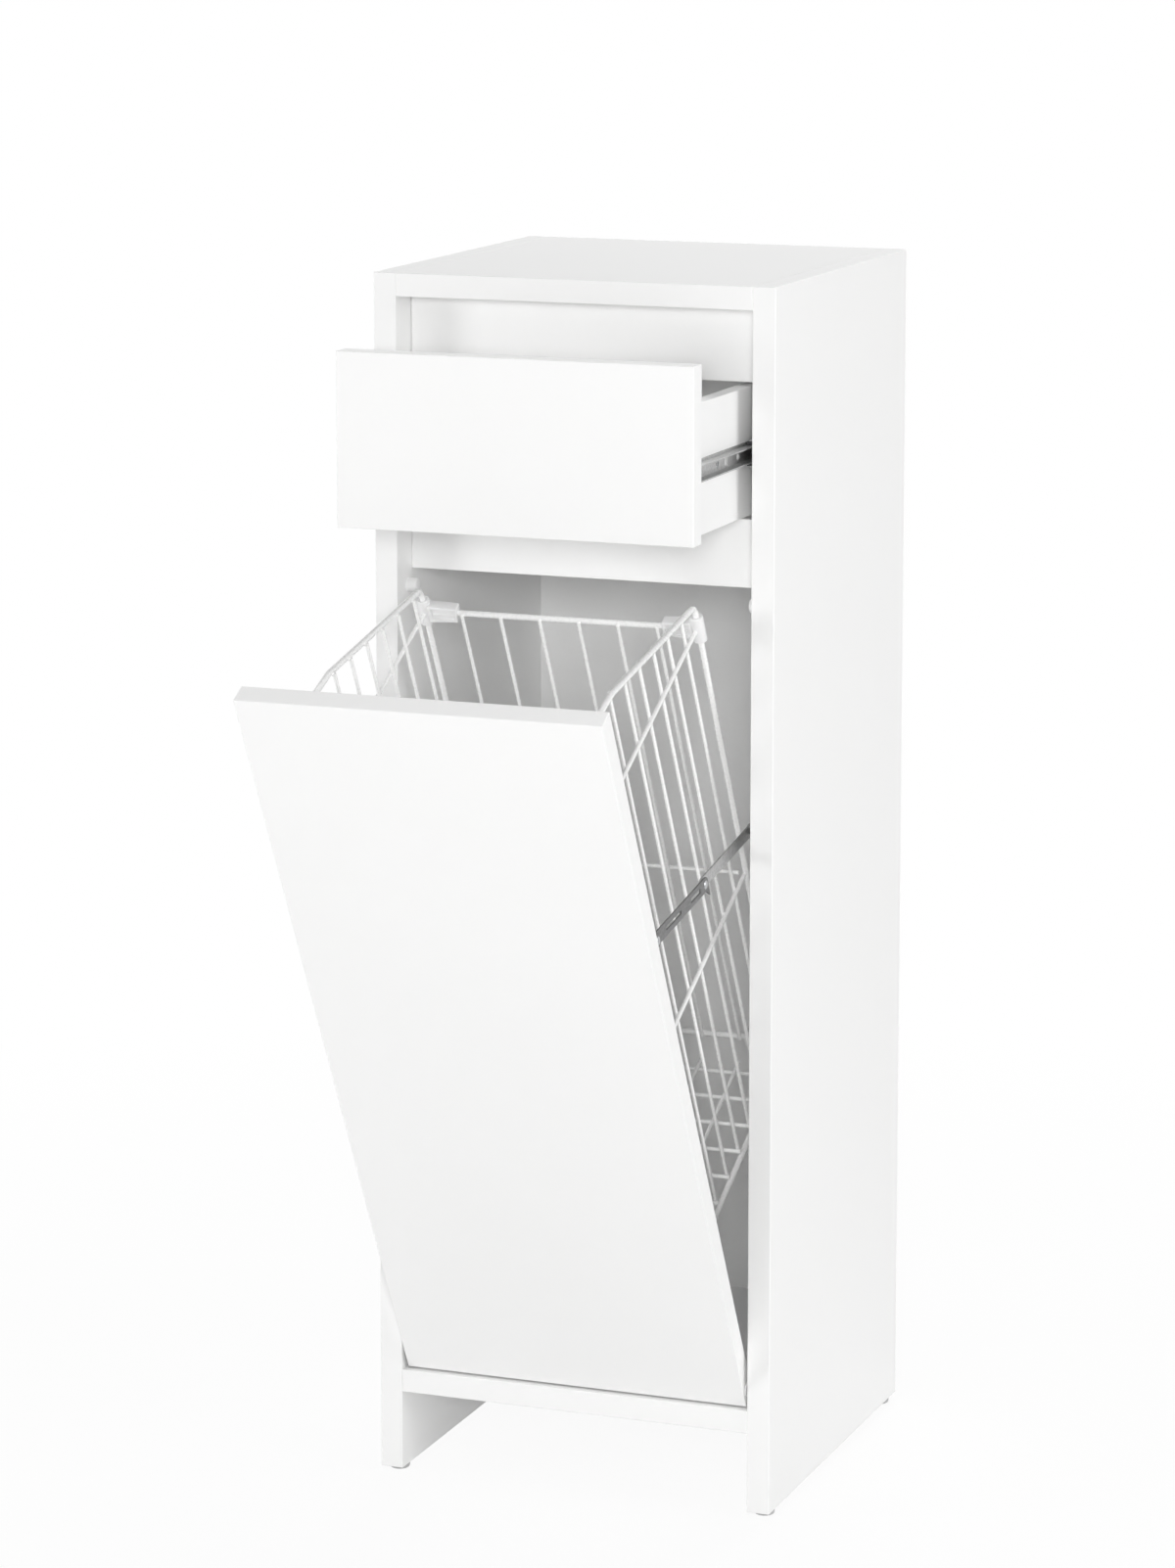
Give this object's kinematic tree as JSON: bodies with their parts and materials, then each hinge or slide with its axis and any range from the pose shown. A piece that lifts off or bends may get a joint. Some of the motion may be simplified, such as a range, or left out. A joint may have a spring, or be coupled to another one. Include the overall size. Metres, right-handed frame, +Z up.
{
  "type": "bathroom side cabinet",
  "caption": "Narrow white bathroom side cabinet with an upper drawer on ball-bearing runners and a bottom-hinged tilt-out door that carries a wire laundry basket.",
  "frame": {"origin": "on the floor, in the middle of the bounding box of the cabinet with its drawer and its hamper door open as stored", "axes": "+X to the cabinet's right as seen from the front, +Y towards the wall behind it, +Z up"},
  "size_m": [0.34, 0.6598, 1],
  "materials": {
    "white_board": "satin white lacquer and foil on particle board",
    "thin_board": "satin white foil on thin fibreboard",
    "white_plastic": "moulded satin",
    "white_wire": "glossy white powder coat on steel wire",
    "zinc_steel": "zinc-plated sheet steel, satin",
    "screw_steel": "zinc-plated",
    "cast_zinc": "die-cast, matt",
    "ball_steel": "polished",
    "black_plastic": "moulded matt",
    "beech": "raw, fluted"
  },
  "bodies": {
    "carcass": {"left_side_panel": "white_board", "right_side_panel": "white_board", "top_panel": "white_board", "bottom_panel": "white_board", "back_panel": "thin_board", "upper_rail": "white_board", "lower_rail": "white_board", "floor_glides": "white_plastic", "cam_housings": "cast_zinc", "cam_bolts": "screw_steel", "wood_dowels": "beech", "door_pivot_pins": "zinc_steel", "door_stops": "white_plastic", "left_runner_rail": "zinc_steel", "right_runner_rail": "zinc_steel", "runner_end_stops": "black_plastic", "runner_rail_screws": "screw_steel", "left_stay_wall_plate": "zinc_steel", "right_stay_wall_plate": "zinc_steel", "stay_wall_screws": "screw_steel"},
    "drawer": {"drawer_front": "white_board", "drawer_left_side": "white_board", "drawer_right_side": "white_board", "drawer_back": "white_board", "drawer_bottom": "thin_board", "drawer_dowels": "beech", "drawer_back_screws": "screw_steel", "left_runner_slide": "zinc_steel", "right_runner_slide": "zinc_steel", "runner_slide_screws": "screw_steel"},
    "left_cage": {"left_ball_cage": "black_plastic", "left_runner_balls": "ball_steel"},
    "right_cage": {"right_ball_cage": "black_plastic", "right_runner_balls": "ball_steel"},
    "hamper_door": {"door_panel": "white_board", "door_pivot_bushes": "white_plastic", "left_stay_door_bracket": "zinc_steel", "right_stay_door_bracket": "zinc_steel", "stay_bracket_screws": "screw_steel", "stay_bracket_rivets": "zinc_steel", "basket_left_panel": "white_wire", "basket_right_panel": "white_wire", "basket_rear_panel": "white_wire", "basket_front_panel": "white_wire", "basket_bottom_panel": "white_wire", "basket_corner_clips": "white_plastic", "basket_door_clips": "white_plastic", "basket_clip_screws": "screw_steel"},
    "left_lower_link": {"left_stay_lower_link": "zinc_steel", "left_stay_middle_rivet": "zinc_steel"},
    "right_lower_link": {"right_stay_lower_link": "zinc_steel", "right_stay_middle_rivet": "zinc_steel"},
    "left_upper_link": {"left_stay_upper_link": "zinc_steel"},
    "right_upper_link": {"right_stay_upper_link": "zinc_steel"}
  },
  "joints": [
    {"name": "drawer_slide", "type": "slide", "parent": "carcass", "child": "drawer", "axis": [0, -1, 0], "range_m": [-0.126, 0.074]},
    {"name": "left_cage_slide", "type": "slide", "parent": "carcass", "child": "left_cage", "axis": [0, -1, 0], "range_m": [-0.063, 0.037]},
    {"name": "right_cage_slide", "type": "slide", "parent": "carcass", "child": "right_cage", "axis": [0, -1, 0], "range_m": [-0.063, 0.037]},
    {"name": "door_hinge", "type": "hinge", "parent": "carcass", "child": "hamper_door", "pos_m": [0, 0.00085, 0.1055], "axis": [1, 0, 0], "range_deg": [-28, 0]},
    {"name": "left_lower_link_pivot", "type": "hinge", "parent": "hamper_door", "child": "left_lower_link", "pos_m": [-0.14025, -0.19627, 0.51884], "axis": [1, 0, 0], "range_deg": [0, 85.4]},
    {"name": "left_upper_link_pivot", "type": "hinge", "parent": "carcass", "child": "left_upper_link", "pos_m": [-0.13725, 0.02985, 0.559], "axis": [1, 0, 0], "range_deg": [-117.8, 0]},
    {"name": "right_lower_link_pivot", "type": "hinge", "parent": "hamper_door", "child": "right_lower_link", "pos_m": [0.14025, -0.19627, 0.51884], "axis": [1, 0, 0], "range_deg": [0, 85.4]},
    {"name": "right_upper_link_pivot", "type": "hinge", "parent": "carcass", "child": "right_upper_link", "pos_m": [0.13725, 0.02985, 0.559], "axis": [1, 0, 0], "range_deg": [-117.8, 0]}
  ],
  "couplings": [
    {"joint": "left_cage_slide", "follows": "drawer_slide", "ratio": 0.5},
    {"joint": "right_cage_slide", "follows": "drawer_slide", "ratio": 0.5},
    {"joint": "left_lower_link_pivot", "follows": "door_hinge", "ratio": -3.049},
    {"joint": "left_upper_link_pivot", "follows": "door_hinge", "ratio": 4.2044},
    {"joint": "right_lower_link_pivot", "follows": "door_hinge", "ratio": -3.049},
    {"joint": "right_upper_link_pivot", "follows": "door_hinge", "ratio": 4.2044}
  ]
}
